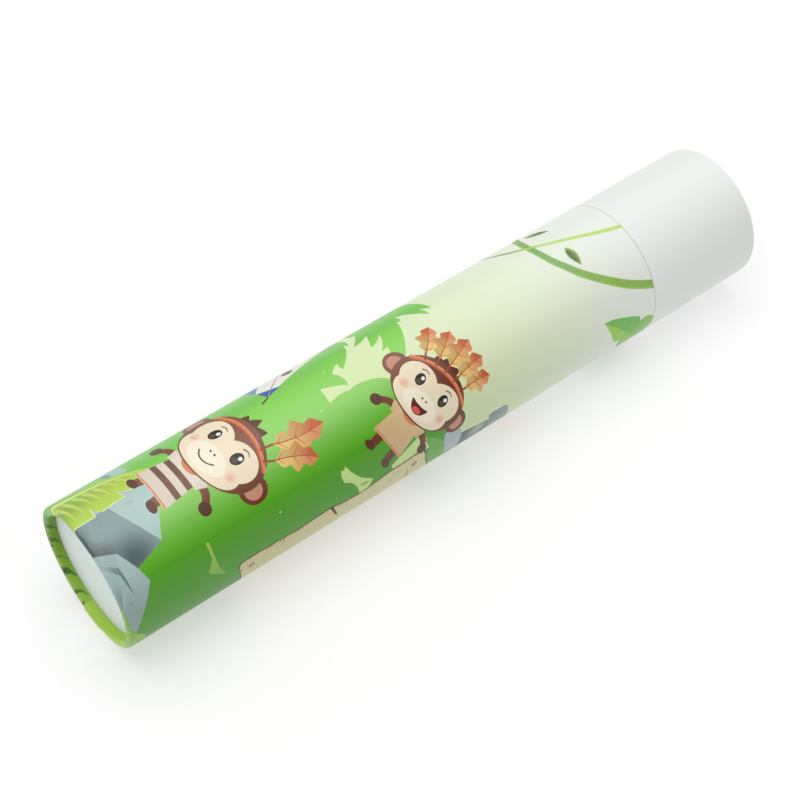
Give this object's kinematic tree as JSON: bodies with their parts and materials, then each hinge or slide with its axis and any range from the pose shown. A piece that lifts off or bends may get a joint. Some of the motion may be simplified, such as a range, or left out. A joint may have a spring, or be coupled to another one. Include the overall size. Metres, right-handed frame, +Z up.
{
  "type": "kaleidoscope",
  "caption": "Paper-tube kaleidoscope: a printed barrel with a bead cell behind a frosted window, and a white turning collar that carries the eyepiece and mirror prism.",
  "frame": {"origin": "on the resting surface under the middle of the tube, lying on its side", "axes": "+X along the tube from the frosted window to the eyepiece, +Z up, -Y the side with the printed picture's front"},
  "size_m": [0.238, 0.045, 0.045],
  "materials": {
    "printed_paper": "satin print, green jungle scene fading to pale yellow-green",
    "white_paper": "satin white",
    "kraft_board": "uncoated kraft",
    "white_card": "uncoated white",
    "black_card": "matt black",
    "frosted_plastic": "frosted, pale",
    "clear_plastic": "clear",
    "mirror": "silvered face",
    "foam": "closed-cell foam",
    "red_bead": "glossy",
    "blue_bead": "glossy",
    "yellow_bead": "glossy",
    "green_bead": "glossy",
    "pink_bead": "glossy",
    "violet_bead": "glossy"
  },
  "bodies": {
    "barrel": {"printed_wrap": "printed_paper", "barrel_tube": "kraft_board", "neck_tube": "kraft_board", "diffuser_disc": "frosted_plastic", "chamber_ring": "white_card", "clear_window": "clear_plastic", "locking_ring": "kraft_board"},
    "collar": {"collar_wrap": "white_paper", "collar_tube": "kraft_board", "eyepiece_disc": "white_card", "eye_lens": "clear_plastic", "end_ring": "kraft_board", "mirror_tube": "kraft_board", "stop_flange": "kraft_board", "mirror_strip_1": "mirror", "mirror_strip_2": "mirror", "mirror_strip_3": "mirror", "prism_sleeve": "black_card", "front_prism_support": "foam", "rear_prism_support": "foam"},
    "gem_pile": {"red_gem": "red_bead", "blue_gem": "blue_bead", "yellow_gem": "yellow_bead", "green_lentil": "green_bead", "pink_lentil": "pink_bead", "violet_lentil": "violet_bead"},
    "bead_pile": {"violet_ring_bead": "violet_bead", "red_bugle": "red_bead", "green_ring_bead": "green_bead", "yellow_bugle": "yellow_bead", "blue_ring_bead": "blue_bead", "pink_ring_bead": "pink_bead"},
    "sequin_pile": {"yellow_star": "yellow_bead", "pink_flower": "pink_bead", "blue_spangle": "blue_bead", "green_star": "green_bead", "violet_flower": "violet_bead", "red_star": "red_bead"}
  },
  "joints": [
    {"name": "collar_turn", "type": "hinge", "parent": "barrel", "child": "collar", "pos_m": [0.075, 0, 0.0225], "axis": [1, 0, 0], "continuous": true},
    {"name": "gem_tumble", "type": "hinge", "parent": "barrel", "child": "gem_pile", "pos_m": [-0.1134, 0, 0.0225], "axis": [1, 0, 0], "continuous": true},
    {"name": "bead_tumble", "type": "hinge", "parent": "barrel", "child": "bead_pile", "pos_m": [-0.1107, 0, 0.0225], "axis": [1, 0, 0], "continuous": true},
    {"name": "sequin_tumble", "type": "hinge", "parent": "barrel", "child": "sequin_pile", "pos_m": [-0.108, 0, 0.0225], "axis": [1, 0, 0], "continuous": true}
  ]
}
